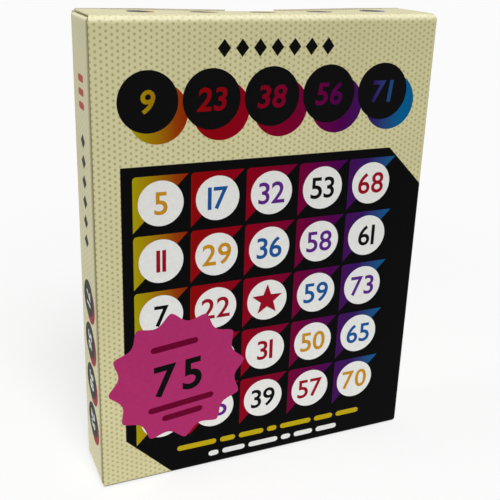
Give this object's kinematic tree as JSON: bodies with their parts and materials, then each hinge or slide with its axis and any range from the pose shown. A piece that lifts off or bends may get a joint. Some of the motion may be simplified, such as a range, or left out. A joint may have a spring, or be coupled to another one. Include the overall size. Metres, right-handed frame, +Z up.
{
  "type": "boxed bingo card set",
  "caption": "Upright printed paperboard tuck-end carton with hinged lids, tuck flaps and dust flaps, holding a deck of scratch-off bingo cards.",
  "frame": {"origin": "centre of the carton's base, on the surface it stands on", "axes": "+Z up along the carton's height; the printed front panel faces -Y; +X to the right seen from the front"},
  "size_m": [0.12, 0.0234, 0.16],
  "materials": {
    "printed_board": "satin coated print",
    "card_stock": "smooth matte card",
    "scratch_film": "satin silver"
  },
  "bodies": {
    "sleeve": {"front_panel": "printed_board", "right_panel": "printed_board", "back_panel": "printed_board", "left_panel": "printed_board", "glue_flap": "printed_board"},
    "top_lid": {"top_lid": "printed_board"},
    "top_tuck_flap": {"top_tuck_flap": "printed_board"},
    "top_left_dust_flap": {"top_left_dust_flap": "printed_board"},
    "top_right_dust_flap": {"top_right_dust_flap": "printed_board"},
    "bottom_lid": {"bottom_lid": "printed_board"},
    "bottom_tuck_flap": {"bottom_tuck_flap": "printed_board"},
    "bottom_left_dust_flap": {"bottom_left_dust_flap": "printed_board"},
    "bottom_right_dust_flap": {"bottom_right_dust_flap": "printed_board"},
    "deck": {"card_01": "card_stock", "card_02": "card_stock", "card_03": "card_stock", "card_04": "card_stock", "card_05": "card_stock", "card_06": "card_stock", "card_07": "card_stock", "card_08": "card_stock", "card_09": "card_stock", "card_10": "card_stock", "card_11": "card_stock", "card_12": "card_stock", "card_13": "card_stock", "card_14": "card_stock", "card_15": "card_stock", "card_16": "card_stock", "card_17": "card_stock", "card_18": "card_stock", "card_19": "card_stock", "card_20": "card_stock", "card_21": "card_stock", "card_22": "card_stock", "card_23": "card_stock", "card_24": "card_stock", "card_25": "card_stock", "card_26": "card_stock", "scratch_films": "scratch_film"}
  },
  "joints": [
    {"name": "top_lid_hinge", "type": "hinge", "parent": "sleeve", "child": "top_lid", "pos_m": [0, -0.01131, 0.15956], "axis": [1, 0, 0], "range_deg": [0, 150]},
    {"name": "top_tuck_fold", "type": "hinge", "parent": "top_lid", "child": "top_tuck_flap", "pos_m": [0, 0.01011, 0.15921], "axis": [1, 0, 0], "range_deg": [-30, 0]},
    {"name": "top_left_dust_fold", "type": "hinge", "parent": "sleeve", "child": "top_left_dust_flap", "pos_m": [-0.05956, 0, 0.15886], "axis": [0, -1, 0], "range_deg": [0, 82.5]},
    {"name": "top_right_dust_fold", "type": "hinge", "parent": "sleeve", "child": "top_right_dust_flap", "pos_m": [0.05956, 0, 0.15886], "axis": [0, 1, 0], "range_deg": [0, 82.5]},
    {"name": "bottom_lid_hinge", "type": "hinge", "parent": "sleeve", "child": "bottom_lid", "pos_m": [0, -0.01131, 0.00044], "axis": [-1, 0, 0], "range_deg": [0, 150]},
    {"name": "bottom_tuck_fold", "type": "hinge", "parent": "bottom_lid", "child": "bottom_tuck_flap", "pos_m": [0, 0.01011, 0.00079], "axis": [-1, 0, 0], "range_deg": [-30, 0]},
    {"name": "bottom_left_dust_fold", "type": "hinge", "parent": "sleeve", "child": "bottom_left_dust_flap", "pos_m": [-0.05956, 0, 0.00114], "axis": [0, 1, 0], "range_deg": [0, 82.5]},
    {"name": "bottom_right_dust_fold", "type": "hinge", "parent": "sleeve", "child": "bottom_right_dust_flap", "pos_m": [0.05956, 0, 0.00114], "axis": [0, -1, 0], "range_deg": [0, 82.5]},
    {"name": "deck_lift", "type": "slide", "parent": "sleeve", "child": "deck", "axis": [0, 0, 1], "range_m": [0, 0.005]}
  ],
  "couplings": [
    {"joint": "top_tuck_fold", "follows": "top_lid_hinge", "ratio": -0.2},
    {"joint": "top_left_dust_fold", "follows": "top_lid_hinge", "ratio": 0.55},
    {"joint": "top_right_dust_fold", "follows": "top_lid_hinge", "ratio": 0.55},
    {"joint": "bottom_tuck_fold", "follows": "bottom_lid_hinge", "ratio": -0.2},
    {"joint": "bottom_left_dust_fold", "follows": "bottom_lid_hinge", "ratio": 0.55},
    {"joint": "bottom_right_dust_fold", "follows": "bottom_lid_hinge", "ratio": 0.55}
  ]
}
